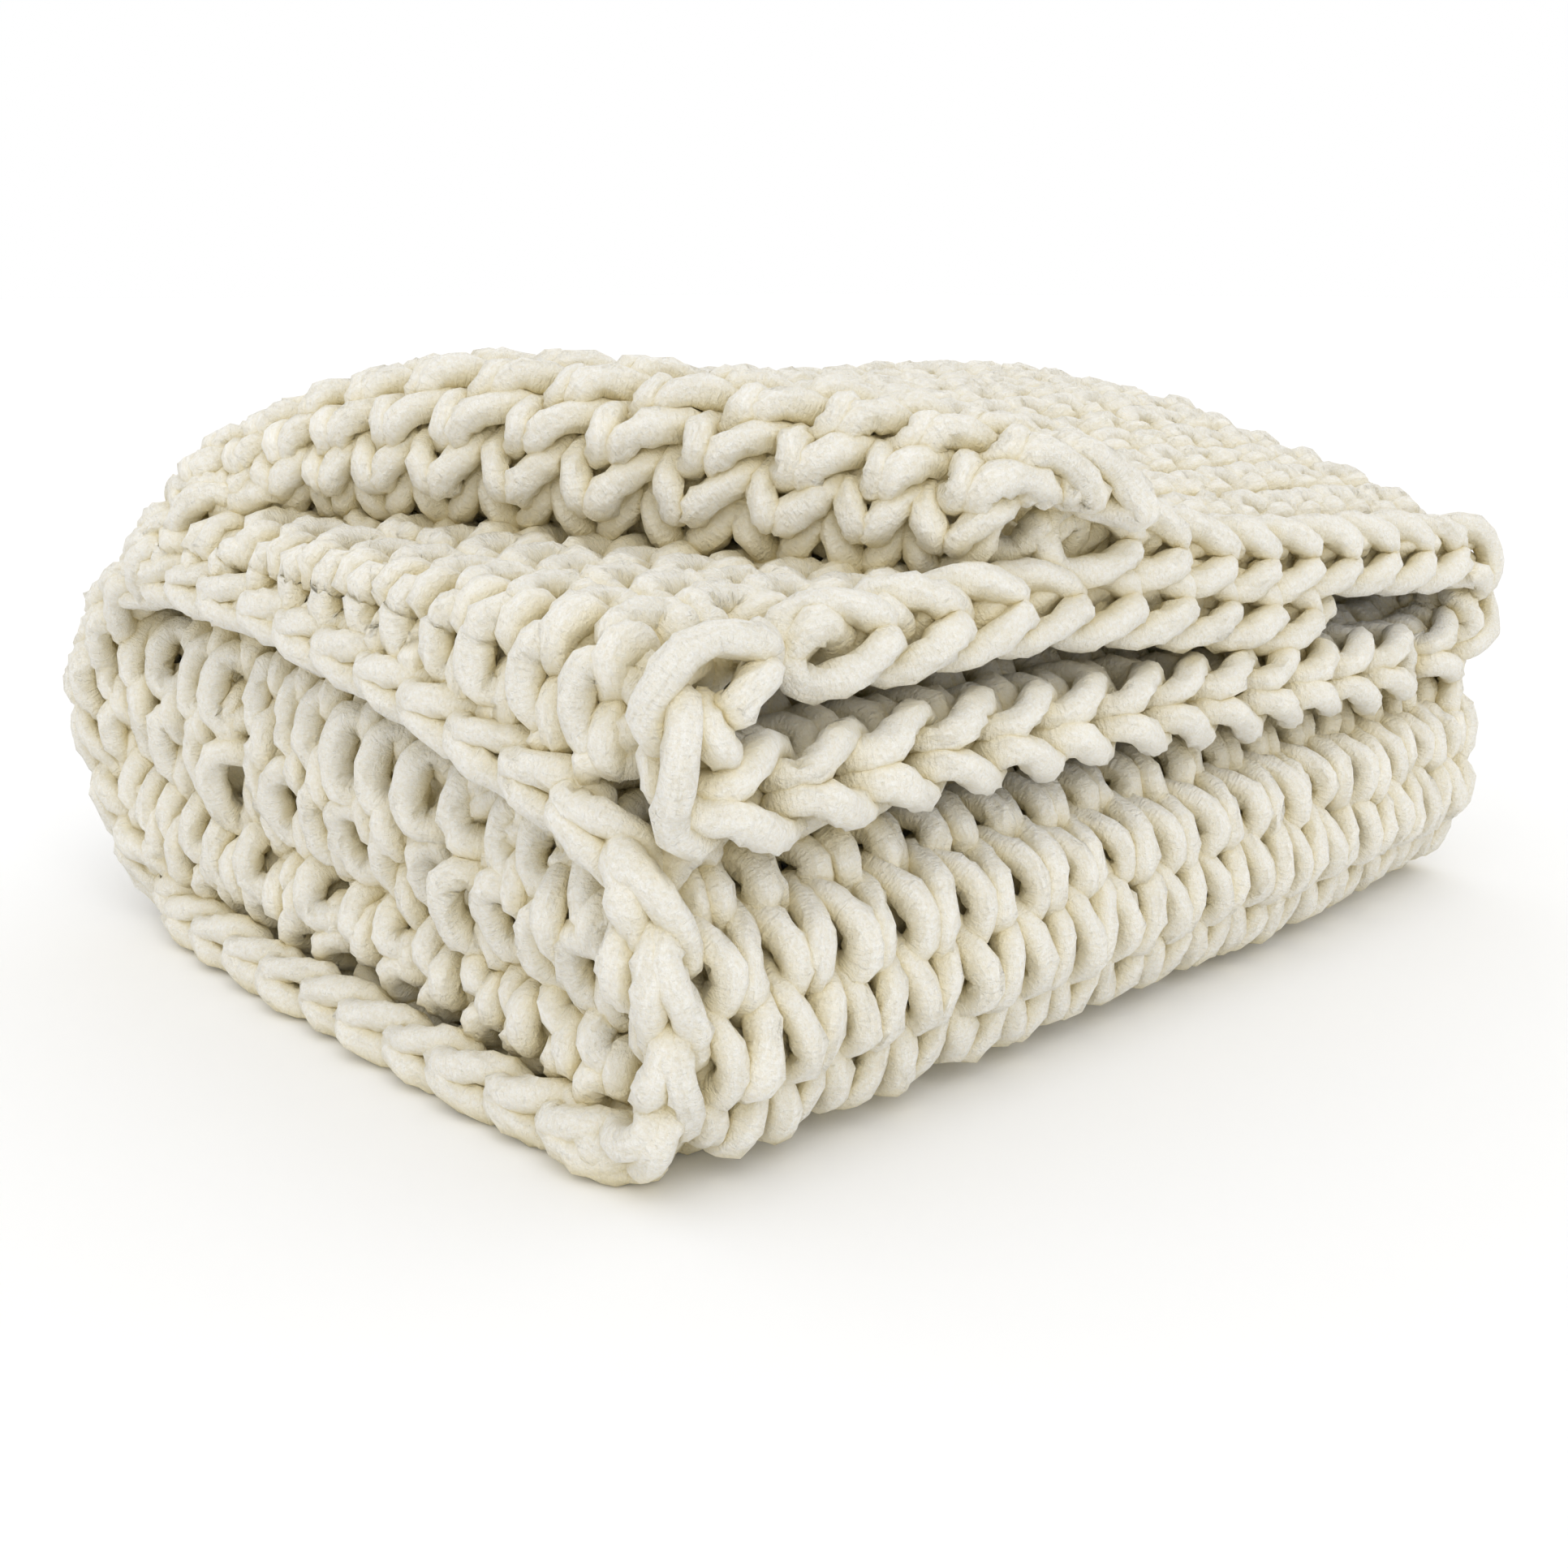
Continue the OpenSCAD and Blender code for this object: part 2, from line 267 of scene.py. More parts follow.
def mesh_of_yarns(name, groups, material):
    """One mesh object from groups of yarn rings, each yarn closed at both ends."""
    co, sp, quads, caps = [], [], [], []
    base = 0
    for points, space in groups:
        c, n, s, _ = points.shape
        idx = base + np.arange(c * n * s).reshape(c, n, s)
        nxt = np.roll(idx, -1, axis=2)
        q = np.stack([idx[:, :-1], nxt[:, :-1], nxt[:, 1:], idx[:, 1:]], -1)
        quads.append(q.reshape(-1, 4))
        caps.append(idx[:, 0, ::-1])
        caps.append(idx[:, -1])
        co.append(points.reshape(-1, 3))
        sp.append(space.reshape(-1, 3))
        base += c * n * s
    co = np.vstack(co)
    low = co[:, 2] < FLOOR_EASE
    co[low, 2] = FLOOR_EASE * np.exp(co[low, 2] / FLOOR_EASE - 1)  # yarn flattens on what it rests on
    co = co * MM
    sp = np.vstack(sp)
    quads = np.vstack(quads)
    loops = [quads.reshape(-1)]
    sizes = [np.full(len(quads), 4)]
    for cap in caps:
        loops.append(cap.reshape(-1))
        sizes.append(np.full(len(cap), cap.shape[1]))
    loops = np.concatenate(loops).astype(np.int32)
    sizes = np.concatenate(sizes).astype(np.int32)
    starts = np.concatenate([[0], np.cumsum(sizes)[:-1]]).astype(np.int32)
    mesh = bpy.data.meshes.new(name)
    mesh.vertices.add(len(co))
    mesh.vertices.foreach_set("co", co.astype(np.float32).reshape(-1))
    mesh.loops.add(len(loops))
    mesh.loops.foreach_set("vertex_index", loops)
    mesh.polygons.add(len(sizes))
    mesh.polygons.foreach_set("loop_start", starts)
    mesh.update(calc_edges=True)
    mesh.validate()
    mesh.polygons.foreach_set("use_smooth", np.ones(len(mesh.polygons), bool))
    yarn = mesh.attributes.new("yarn_space", "FLOAT_VECTOR", "POINT")
    yarn.data.foreach_set("vector", sp.astype(np.float32).reshape(-1))
    mesh.materials.append(material)
    obj = bpy.data.objects.new(name, mesh)
    bpy.context.scene.collection.objects.link(obj)
    return obj


# ---- shapes of the folded cloth, in millimetres -------------------------------------------------


def strip_fold(y, middle_left, lower_left, middle_right, lower_right):
    """Middle flap from right to left, round the left-hand turn, then the lower flap back to the right."""
    half = (middle_left - lower_left) / 2
    mid = (middle_left + lower_left) / 2
    cx = -215 + half
    flat = [
        (196, middle_right),
        (110, middle_right * 0.78 + middle_left * 0.22),
        (20, middle_right * 0.3 + middle_left * 0.7),
        (-60, middle_left),
        (-140, middle_left + 1),
        (cx - 4, middle_left),
    ]
    turn = [(cx - 0.8 * half, mid + 0.62 * half), (cx - half, mid), (cx - 0.8 * half, mid - 0.62 * half)]
    back = [
        (cx - 4, lower_left),
        (-120, lower_left - 1),
        (0, lower_left * 0.6 + lower_right * 0.4),
        (100, lower_left * 0.2 + lower_right * 0.8),
        (190, lower_right),
    ]
    return [(x, y, z) for x, z in flat + turn + back]


def top_fold(y, lower, top_right, top_mid, roll_x, roll_z, reach_z):
    """Right-hand turn, then the top flap to its left, as far as the foot of its rolled edge."""
    half = (top_right - lower) / 2
    mid = (top_right + lower) / 2
    cx = 230 - half
    line = [(190 if cx > 188 else cx, lower), (cx + 0.62 * half, mid - 0.8 * half), (cx + half, mid)]
    line += [(cx + 0.62 * half, mid + 0.8 * half), (cx, top_right)]
    for f in (0.3, 0.62):
        line.append((cx + (roll_x - cx) * f, top_right + (top_mid - top_right) * f / 0.62))
    line.append((cx + (roll_x - cx) * 0.86, roll_z - reach_z + (top_mid - roll_z + reach_z) * 0.3))
    line.append((roll_x, roll_z - reach_z))
    return [(x, y, z) for x, z in line]


def roll_section(y, roll_x, roll_z, reach_x, reach_z):
    """The rolled edge of the top flap: from where it lies on the flap below, up its left side and over."""
    line = []
    for turn in range(0, ROLL_SWEEP + 1, ROLL_STEP):
        angle = math.radians(ROLL_FROM - turn)
        line.append((roll_x + reach_x * math.cos(angle), y, roll_z + reach_z * math.sin(angle)))
    return line


def wrap_fold(left, right, nose):
    """Cloth carried round the rear fold: a tuck at the right-hand end, then flat to the left selvedge."""
    (ly, lz), (ry, rz) = left, right
    out = np.array([ry - 60, rz - 105]) / math.hypot(ry - 60, rz - 105)
    line = [
        (188, ry - 34 * out[0], rz - 34 * out[1]),
        (212, ry - 30 * out[0], rz - 30 * out[1]),
        (nose, ry - 16 * out[0], rz - 16 * out[1]),
        (214, ry - 3 * out[0], rz - 3 * out[1]),
    ]
    for x, f in ((180, 0), (80, 0), (-20, 0.04), (-100, 0.22), (-160, 0.58), (-212, 1)):
        line.append((x, ry + (ly - ry) * f, rz + (lz - rz) * f))
    return line


UNDER = Loft(
    [0, 2.4, 5.1, 7.8, 10.5, 13],
    [
        strip_fold(-184, 152, 117, 120, 101),
        strip_fold(-130, 155, 127, 128, 106),
        strip_fold(-70, 158, 136, 140, 114),
        strip_fold(-10, 160, 139, 152, 122),
        strip_fold(50, 162, 141, 160, 128),
        strip_fold(104, 162, 141, 161, 130),
    ],
    33,
)

ROLL = [
    (-197, -60, 182, 17, 12),
    (-170, -76, 186, 17, 16),
    (-130, -100, 191, 18, 18),
    (-70, -128, 196, 19, 19),
    (-10, -154, 198, 19, 18),
    (36, -178, 192, 15, 14),
    (64, -193, 185, 10, 8),
    (84, -206, 178, 7, 5),
]

OVER = Loft(
    [0, 2.5, 5.3, 8, 10.2, 12, 13.9, 15.8, 18, 20.2, 22.2, 24],
    [
        top_fold(-184, 101, 145, 158, -66, 182, 8),
        top_fold(-130, 106, 167, 176, -108, 190, 13),
        top_fold(-70, 114, 183, 190, -136, 195, 15),
        top_fold(-10, 122, 197, 199, -162, 197, 15),
        top_fold(40, 128, 201, 202, -182, 192, 12),
        top_fold(76, 130, 200, 199, -208, 182, 8),
        wrap_fold((100, 158), (126, 190), 230),
        wrap_fold((150, 122), (166, 156), 230),
        wrap_fold((184, 91), (182, 106), 230),
        wrap_fold((163, 52), (168, 58), 228),
        wrap_fold((132, 20), (136, 20), 226),
        wrap_fold((90, 12), (92, 11), 224),
    ],
    20,
)

ROLLED = Loft(
    [0, 1, 2.2, 4.2, 6.2, 8, 9.6, 10.6],
    [roll_section(y, x, z, rx, rz) for y, x, z, rx, rz in ROLL[::-1]],
    5,
).turned(12, 5, 0.3)


def front_profile(x, lean):
    """Section of the front fold from under the bottom, round its nose, to the top of the base."""
    out = -204 + lean
    return [
        (x, -90, 13),
        (x, -160, 13),
        (x, out + 14, 19),
        (x, out, 42),
        (x, out + 6, 66),
        (x, -170, 84),
        (x, -90, 91),
    ]


FRONT = Loft(
    [0, 4, 9, 13],
    [front_profile(-212, 8), front_profile(-80, 1), front_profile(80, 0), front_profile(216, 6)],
    11,
).turned(17, 11)

BOTTOM = Loft(
    [0, 6],
    [
        [(214, -70, 11), (0, -70, 11), (-214, -70, 11)],
        [(214, 100, 11), (0, 100, 11), (-214, 100, 11)],
    ],
    13,
)

BASE_TOP = Loft(
    [0, 4, 8],
    [
        [(208, -104, 90), (0, -104, 90), (-208, -104, 91)],
        [(208, 0, 99), (0, 0, 101), (-208, 0, 107)],
        [(208, 104, 104), (0, 104, 108), (-208, 104, 114)],
    ],
    15,
)


def side_roll(y, high, low, nose, sign):
    """A folded edge of the base: along its top to the side, round, and back underneath."""
    half = (high - low) / 2
    mid = (high + low) / 2
    cx = nose - half * 0.8
    line = [(cx - 70, high - 3), (cx - 20, high), (cx, high)]
    line += [(cx + 0.62 * half, mid + 0.72 * half), (cx + 0.8 * half, mid)]
    line += [(cx + 0.62 * half, mid - 0.72 * half)]
    line += [(cx, low), (cx - 20, low), (cx - 70, low + 3)]
    return [(sign * x, y, z) for x, z in line]


def side_rolls(sign):
    """The two rolled ends of the base on one side, upper and lower."""
    upper = [(-178, 98, 46), (-120, 108, 47), (-50, 119, 48), (20, 130, 51)]
    upper += [(80, 134, 55), (132, 126, 62), (160, 104, 68)]
    lower = [(-176, 42, 19), (-120, 46, 18), (-50, 48, 18), (20, 50, 19)]
    lower += [(80, 54, 21), (122, 58, 28), (150, 62, 42)]
    rows = [0, 2.8, 6, 9.2, 12, 14.2, 16]
    flip = [side_roll(y, h, l, 215, sign) for y, h, l in upper]
    flop = [side_roll(y, h, l, 217, sign) for y, h, l in lower]
    return Loft(rows, flip, 8), Loft(rows, flop, 6)


# ---- finish -------------------------------------------------------------------------------------


def linear(code):
    """Linear colour from an sRGB hex code."""
    out = []
    for k in (0, 2, 4):
        c = int(code[k:k + 2], 16) / 255
        out.append(c / 12.92 if c <= 0.04045 else ((c + 0.055) / 1.055) ** 2.4)
    return (*out, 1.0)


def add_node(tree, kind, **values):
    """A shader node with its named sockets or settings filled in."""
    node = tree.nodes.new(kind)
    for key, value in values.items():
        if key in node.inputs:
            node.inputs[key].default_value = value
        else:
            setattr(node, key, value)
    return node


def chenille_material():
    """Ivory chenille: matt, haloed at grazing angles, with painted warm bounce light in the base colour
    where the yarns crowd together, and fine cross-lying tufts about 1 mm apart along the yarn."""
    found = bpy.data.materials.get("Ivory chenille yarn")
    if found:
        return found
    mat = bpy.data.materials.new("Ivory chenille yarn")
    mat.use_nodes = True
    tree = mat.node_tree
    tree.nodes.clear()
    out = add_node(tree, "ShaderNodeOutputMaterial")
    body = add_node(tree, "ShaderNodeBsdfPrincipled", Roughness=0.95)
    body.inputs["Sheen Weight"].default_value = 0.3
    body.inputs["Sheen Roughness"].default_value = 0.45
    body.inputs["Specular IOR Level"].default_value = 0.1
    # yarn_space runs in millimetres along and across each yarn, so 1 / scale is a size in millimetres
    place = add_node(tree, "ShaderNodeAttribute", attribute_name="yarn_space")
    tufts = add_node(tree, "ShaderNodeTexNoise", Scale=0.9, Detail=4.0, Roughness=0.7)
    ribs = add_node(tree, "ShaderNodeTexNoise", Scale=0.5, Detail=2.0)
    mapping = add_node(tree, "ShaderNodeMapping")
    mapping.inputs["Scale"].default_value = (1.8, 0.45, 0.45)
    tree.links.new(place.outputs["Vector"], tufts.inputs["Vector"])
    tree.links.new(place.outputs["Vector"], mapping.inputs["Vector"])
    tree.links.new(mapping.outputs["Vector"], ribs.inputs["Vector"])
    both = add_node(tree, "ShaderNodeMath", operation="ADD")
    tree.links.new(tufts.outputs["Fac"], both.inputs[0])
    tree.links.new(ribs.outputs["Fac"], both.inputs[1])
    bump = add_node(tree, "ShaderNodeBump", Strength=0.84, Distance=0.0016)
    tree.links.new(both.outputs["Value"], bump.inputs["Height"])
    tree.links.new(bump.outputs["Normal"], body.inputs["Normal"])
    tone = add_node(tree, "ShaderNodeMix", data_type="RGBA")
    tone.inputs["A"].default_value = linear("F1EAD8")
    tone.inputs["B"].default_value = linear("FBF9F2")
    spread = add_node(tree, "ShaderNodeMapRange")
    spread.inputs["From Min"].default_value = 0.3
    spread.inputs["From Max"].default_value = 0.62
    tree.links.new(tufts.outputs["Fac"], spread.inputs["Value"])
    tree.links.new(spread.outputs["Result"], tone.inputs["Factor"])
    # painted bounce light: within 14 mm of other yarn the base colour is painted warm, standing in for light
    # that has bounced in the pile
    painted_bounce_mask = add_node(tree, "ShaderNodeAmbientOcclusion", samples=6)
    painted_bounce_mask.inputs["Distance"].default_value = 0.014
    painted_bounce_tint = add_node(tree, "ShaderNodeMix", data_type="RGBA")
    painted_bounce_tint.inputs["A"].default_value = linear("F3E3AE")
    tree.links.new(painted_bounce_mask.outputs["AO"], painted_bounce_tint.inputs["Factor"])
    tree.links.new(tone.outputs["Result"], painted_bounce_tint.inputs["B"])
    tree.links.new(painted_bounce_tint.outputs["Result"], body.inputs["Base Color"])
    tree.links.new(body.outputs["BSDF"], out.inputs["Surface"])
    return mat


FINE = 38
SIDE_SEEDS = {-1: (18, 22), 1: (20, 24)}


def look_of(settings, **changes):
    """Shape of one stitch, in millimetres and parts of a stitch, from the panel's settings."""
    look = {"neck": settings.neck, "depth": settings.stitch_depth / MM, "lead": settings.loop_lead / MM}
    look.update(tall=settings.loop_height, wander=1.6, loose=1.0)
    look.update(changes)
    return look


def knit(settings, name, sheet, cols, rows, side, seed, sides=16, fine=FINE, thicker=1.0, **changes):
    """A patch of knitting between whole columns and rows of a sheet, as one piece."""
    look = look_of(settings, **changes)
    radius = settings.yarn_radius / MM * thicker
    lines = stockinette(sheet, cols[0], cols[1], rows[0], rows[1], side, fine, seed, look)
    rings = yarn_rings(lines, radius, sides, seed, settings.pile)
    return mesh_of_yarns(name, [rings], chenille_material())


def chain_piece(settings, name, guide, outward, size, seed, sides=14, **shape):
    """A chain of V links along a guide line; size is its pitch, width and depth in millimetres."""
    lines = chain(guide, outward, size[0], size[1], size[2], seed, **shape)
    rings = yarn_rings(lines, settings.yarn_radius / MM, sides, 40 + seed, settings.pile)
    return mesh_of_yarns(name, [rings], chenille_material())


def finish_piece(nodes):
    """Hides the CAD parts that a knitted piece stands in for."""
    if nodes:
        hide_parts(*nodes)


def edge_guide(sheet, cols, b, lift=0.0, count=240):
    """Points along one row of a sheet, lifted off it along its normal."""
    a = np.linspace(cols[0], cols[1], count)
    rows = np.full_like(a, b)
    return sheet.point(a, rows) + lift * sheet.normal(a, rows)


def build_top_flap(settings):
    """Top flap, ending at the corner that peels back."""
    obj = knit(settings, "top_flap_knit", OVER, (4, 20), (0, 11), 1, 11, fine=34, thicker=1.04)
    finish_piece(["top_flap", "top_corner"])
    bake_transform(obj)


def build_rolled_edge(settings):
    """Front edge of the top flap, rolled back on itself, and the chain along its ridge."""
    obj = knit(settings, "rolled_edge_knit", ROLLED, (0, 12), (0, 5), 1, 21, neck=settings.neck + 0.03)
    finish_piece(["top_rolled_edge"])
    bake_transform(obj)
    guide = ROLLED.loose_edge(200)
    ridge = chain_piece(settings, "rolled_edge_selvedge", guide, (0.2, 0, 1), (30, 17, 4.2), 34)
    finish_piece([])
    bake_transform(ridge)


def build_right_turn(settings):
    """Fold that joins the top flap to the middle flap on the right."""
    obj = knit(settings, "right_turn_knit", OVER, (0, 4), (0, 11), 1, 12, thicker=1.04)
    finish_piece(["right_turn"])
    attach(obj, "upper_strip")


def build_rear_fold(settings):
    """Cloth that runs from the top round the back to the floor."""
    obj = knit(settings, "rear_fold_knit", OVER, (0, 20), (11, 24), 1, 13, sides=12, fine=26, thicker=1.14)
    finish_piece(["rear_turn_outer", "rear_turn_middle", "rear_turn_inner"])
    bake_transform(obj)


def build_middle_flap(settings):
    """Middle flap, seen in front of the rolled edge."""
    obj = knit(settings, "middle_flap_knit", UNDER, (3, 15), (0, 12), 1, 14, thicker=1.16)
    finish_piece(["middle_flap"])
    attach(obj, "upper_strip")


def build_left_turn(settings):
    """Fold that joins the middle flap to the lower flap on the left."""
    obj = knit(settings, "left_turn_knit", UNDER, (15, 19), (0, 12), 1, 15, thicker=1.1)
    finish_piece(["left_turn"])
    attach(obj, "upper_strip")


def build_lower_flap(settings):
    """Lower flap, hidden but for its front edge."""
    obj = knit(settings, "lower_flap_knit", UNDER, (19, 33), (0, 12), 1, 16, sides=10, fine=18, thicker=1.1)
    finish_piece(["lower_flap"])
    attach(obj, "upper_strip")


def build_front_fold(settings):
    """Front of the base, folded round from underneath, in two halves of one cloth."""
    left = ["front_turn"]
    shape = {"depth": 5.9, "neck": settings.neck - 0.02, "tall": 0.8, "loose": 1.9, "wander": 2.2}
    for word, cols, nodes in (("left", (0, 9), left), ("right", (9, 17), ["inner_front_turn"])):
        obj = knit(settings, "front_fold_" + word + "_knit", FRONT, cols, (0, 11), 1, 17, **shape)
        finish_piece(nodes)
        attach(obj, "base")


def build_bottom(settings):
    """Cloth the blanket rests on."""
    obj = knit(settings, "bottom_knit", BOTTOM, (0, 13), (0, 6), 1, 18, sides=10, fine=16)
    finish_piece(["bottom_layer"])
    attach(obj, "base")


def build_base_top(settings):
    """Upper layer of the base, under the flaps."""
    obj = knit(settings, "base_top_knit", BASE_TOP, (0, 15), (0, 8), 1, 26, sides=10, fine=18, thicker=1.1)
    finish_piece(["upper_layer"])
    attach(obj, "base")


def build_side_folds(settings):
    """The folded ends of the base, an upper and a lower roll on each side."""
    left = ["inner_left_turn", "inner_upper_layer"]
    right = ["inner_right_turn", "inner_lower_layer"]
    for sign, word, nodes, sides, fine in ((-1, "left", left, 16, FINE), (1, "right", right, 10, 22)):
        upper, under = side_rolls(sign)
        seeds = SIDE_SEEDS[sign]
        shape = {"sides": sides, "fine": fine, "thicker": 1.08, "wander": 5.5, "loose": 3.0}
        obj = knit(settings, word + "_upper_fold_knit", upper, (0, 8), (0, 16), -sign, seeds[0], **shape)
        finish_piece(nodes)
        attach(obj, "base")
        obj = knit(settings, word + "_lower_fold_knit", under, (0, 6), (0, 16), -sign, seeds[1], **shape)
        finish_piece([])
        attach(obj, "base")


def build_cast_on_edges(settings):
    """The chains of plump V links along the front edges of the three flaps."""
    size = (29, 34, 5.2)
    shape = {"spread": 0.17, "reach": 0.72}
    guide = edge_guide(UNDER, (4, 15.2), -0.35)
    obj = chain_piece(settings, "middle_cast_on_chain", guide, (0, -1, 0.5), size, 31, **shape)
    finish_piece(["middle_cast_on_edge"])
    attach(obj, "upper_strip")
    guide = edge_guide(UNDER, (15.2, 33), -0.5) + np.array([0, -2, 1])
    obj = chain_piece(settings, "lower_cast_on_chain", guide, (0, -1, 0.25), size, 32, **shape)
    finish_piece(["lower_cast_on_edge"])
    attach(obj, "upper_strip")
    guide = edge_guide(OVER, (0, 20), -0.35)
    obj = chain_piece(settings, "top_cast_on_chain", guide, (0, -1, 0.2), size, 33, **shape)
    finish_piece(["top_cast_on_edge", "corner_cast_on_edge"])
    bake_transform(obj)


def build_selvedges(settings):
    """The twisted side edges of the cloth: down the back, along the sides of the base and at the floor."""
    rows = np.linspace(10.4, 24, 300)
    left_arc = OVER.point(np.full(300, 20.0), rows) + np.array([-4.0, 0, 0])
    right_arc = OVER.point(np.full(300, 2.2), np.linspace(11.5, 24, 300))
    for side_x, word, arc in ((-1, "left", left_arc), (1, "right", right_arc)):
        name = word + "_rear_selvedge"
        obj = chain_piece(settings, name + "_chain", arc, (side_x, 0.4, 0.3), (28, 18, 4.4), 35)
        finish_piece([name])
        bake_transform(obj)
    for side_x, word, x, low in ((-1, "left", -220, 0), (1, "right", 215, 9)):
        back = [(x, 150, 126), (x, 105, 143), (x, 40, 144), (x, -50, 133), (x, -113, 120)]
        front = [(x, -160, 108), (x, -186, 92), (x, -196, 62), (x, -194, 32), (x, -176, 12), (x, -140, 10)]
        guide = smooth_curve([(px, py, pz - low) for px, py, pz in back] + front)
        name = word + "_front_selvedge"
        obj = chain_piece(settings, name + "_chain", guide, (side_x, -0.7, 0), (26, 17, 4.4), 36)
        finish_piece([name])
        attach(obj, "base")
    points = [(-221, 92, 158), (-222, 140, 122), (-222, 166, 88), (-222, 152, 48), (-222, 118, 20)]
    guide = smooth_curve(points)
    obj = chain_piece(settings, "left_inner_selvedge_chain", guide, (-1, 0.2, 0.2), (27, 18, 4.4), 38)
    finish_piece([])
    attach(obj, "base")
    points = [(-221, 104, 11), (-224, 40, 11), (-225, -40, 11), (-224, -110, 11)]
    points += [(-219, -174, 11), (-200, -188, 12)]
    guide = smooth_curve(points)
    obj = chain_piece(settings, "left_floor_selvedge_chain", guide, (-1, 0, 0.2), (28, 17, 4.2), 37)
    finish_piece(["left_floor_selvedge"])
    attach(obj, "base")


def build_yarn_end(settings):
    """The short loose end of yarn at the right-hand front."""
    points = [(214, -168, 118), (224, -172, 117), (233, -176, 119), (240, -178, 117)]
    line = smooth_curve(points, 24)[None]
    rings = yarn_rings(line, settings.yarn_radius / MM * 0.7, 14, 40, settings.pile)
    obj = mesh_of_yarns("loose_yarn_end", [rings], chenille_material())
    finish_piece(["yarn_tail"])
    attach(obj, "upper_strip")


def build_stage(settings):
    """Plain pale floor, soft even light and the camera."""
    scene = bpy.context.scene
    bpy.ops.mesh.primitive_plane_add(size=60)
    floor = bpy.context.object
    floor.name = "studio_floor"
    mat = bpy.data.materials.new("Pale floor")
    mat.use_nodes = True
    shade = mat.node_tree.nodes["Principled BSDF"]
    shade.inputs["Base Color"].default_value = linear("F7F7F7")
    shade.inputs["Roughness"].default_value = 1.0
    shade.inputs["Specular IOR Level"].default_value = 0.0
    floor.data.materials.append(mat)
    world = bpy.data.worlds.new("Even white")
    scene.world = world
    world.use_nodes = True
    back = world.node_tree.nodes["Background"]
    back.inputs["Color"].default_value = (1, 1, 1, 1)
    back.inputs["Strength"].default_value = settings.sky_strength
    lamp = bpy.data.lights.new("Soft key", "SUN")
    lamp.energy = settings.key_strength
    lamp.angle = settings.key_spread
    holder = bpy.data.objects.new("Soft key", lamp)
    holder.rotation_euler = [math.radians(v) for v in (38, -28, 0)]
    scene.collection.objects.link(holder)
    cam = bpy.data.cameras.new("Camera")
    cam.lens = 41.14
    cam.sensor_width = 36
    cam.clip_end = 100
    eye = bpy.data.objects.new("Camera", cam)
    eye.location = (-0.507, -0.545, 0.250)
    eye.rotation_euler = (math.radians(90 - 15.6), 0, math.radians(-43.3))
    scene.collection.objects.link(eye)
    scene.camera = eye
    scene.view_settings.view_transform = "Standard"


# ---- add-on -------------------------------------------------------------------------------------


class ThrowSettings(bpy.types.PropertyGroup):
    """Sizes and looks of the throw that can be changed before it is built."""

    yarn_radius: bpy.props.FloatProperty(
        name="Yarn radius", description="Half the thickness of the yarn", default=0.0053, unit="LENGTH"
    )
    stitch_depth: bpy.props.FloatProperty(
        name="Stitch depth",
        description="How far a yarn passes over and under",
        default=0.0054,
        unit="LENGTH",
    )
    loop_lead: bpy.props.FloatProperty(
        name="Loop lead",
        description="How far the head of a loop lies behind its foot",
        default=0.0056,
        unit="LENGTH",
    )
    loop_height: bpy.props.FloatProperty(
        name="Loop height", description="Half height of a loop, in rows", default=0.74, subtype="FACTOR"
    )
    neck: bpy.props.FloatProperty(
        name="Loop neck",
        description="How far a loop narrows at its foot, in columns",
        default=0.24,
        subtype="FACTOR",
    )
    pile: bpy.props.FloatProperty(
        name="Pile", description="Unevenness of the chenille pile", default=1.3, subtype="FACTOR"
    )
    sky_strength: bpy.props.FloatProperty(
        name="Surround light", description="Strength of the even surround", default=1.0, subtype="FACTOR"
    )
    key_strength: bpy.props.FloatProperty(
        name="Key light", description="Strength of the soft key light", default=0.63, subtype="FACTOR"
    )
    key_spread: bpy.props.FloatProperty(
        name="Key spread",
        description="Angular size of the key light",
        default=math.radians(45),
        subtype="ANGLE",
    )


class THROW_OT_top_flap(bpy.types.Operator):
    """Knit the top flap"""

    bl_idname = "throw.top_flap"
    bl_label = "Top flap"

    def execute(self, context):
        build_top_flap(context.scene.throw_settings)
        return {"FINISHED"}


class THROW_OT_rolled_edge(bpy.types.Operator):
    """Knit the rolled edge of the top flap"""

    bl_idname = "throw.rolled_edge"
    bl_label = "Rolled edge"

    def execute(self, context):
        build_rolled_edge(context.scene.throw_settings)
        return {"FINISHED"}


class THROW_OT_right_turn(bpy.types.Operator):
    """Knit the right-hand turn between the top and middle flaps"""

    bl_idname = "throw.right_turn"
    bl_label = "Right turn"

    def execute(self, context):
        build_right_turn(context.scene.throw_settings)
        return {"FINISHED"}


class THROW_OT_rear_fold(bpy.types.Operator):
    """Knit the cloth round the back"""

    bl_idname = "throw.rear_fold"
    bl_label = "Rear fold"

    def execute(self, context):
        build_rear_fold(context.scene.throw_settings)
        return {"FINISHED"}


class THROW_OT_middle_flap(bpy.types.Operator):
    """Knit the middle flap"""

    bl_idname = "throw.middle_flap"
    bl_label = "Middle flap"

    def execute(self, context):
        build_middle_flap(context.scene.throw_settings)
        return {"FINISHED"}


class THROW_OT_left_turn(bpy.types.Operator):
    """Knit the left-hand turn between the middle and lower flaps"""

    bl_idname = "throw.left_turn"
    bl_label = "Left turn"

    def execute(self, context):
        build_left_turn(context.scene.throw_settings)
        return {"FINISHED"}


class THROW_OT_lower_flap(bpy.types.Operator):
    """Knit the lower flap"""

    bl_idname = "throw.lower_flap"
    bl_label = "Lower flap"

    def execute(self, context):
        build_lower_flap(context.scene.throw_settings)
        return {"FINISHED"}


class THROW_OT_front_fold(bpy.types.Operator):
    """Knit the front fold of the base"""

    bl_idname = "throw.front_fold"
    bl_label = "Front fold"

    def execute(self, context):
        build_front_fold(context.scene.throw_settings)
        return {"FINISHED"}


